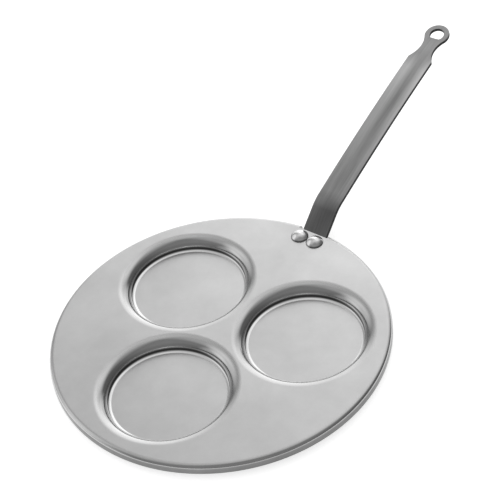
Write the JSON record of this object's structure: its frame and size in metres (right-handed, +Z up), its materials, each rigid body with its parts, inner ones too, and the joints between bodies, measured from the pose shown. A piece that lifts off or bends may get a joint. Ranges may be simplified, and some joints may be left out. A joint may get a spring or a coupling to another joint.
{
  "type": "blini pan",
  "caption": "Round pressed-steel pan with shallow round cells for blinis, a turned-down rim and a long riveted strip handle ending in a hanging eye.",
  "frame": {"origin": "on the hob plane, below the middle of the whole outline", "axes": "+X along the handle away from the plate, +Z up, +Y to the left when looking along the handle"},
  "size_m": [0.4778, 0.27, 0.0863],
  "materials": {
    "plate_steel": "satin bare carbon steel",
    "strap_steel": "darker satin rolled strip steel",
    "rivet_steel": "polished steel"
  },
  "bodies": {
    "root": {"pan_plate": "plate_steel", "handle": "strap_steel", "rivet_left": "rivet_steel", "rivet_right": "rivet_steel"}
  },
  "joints": []
}
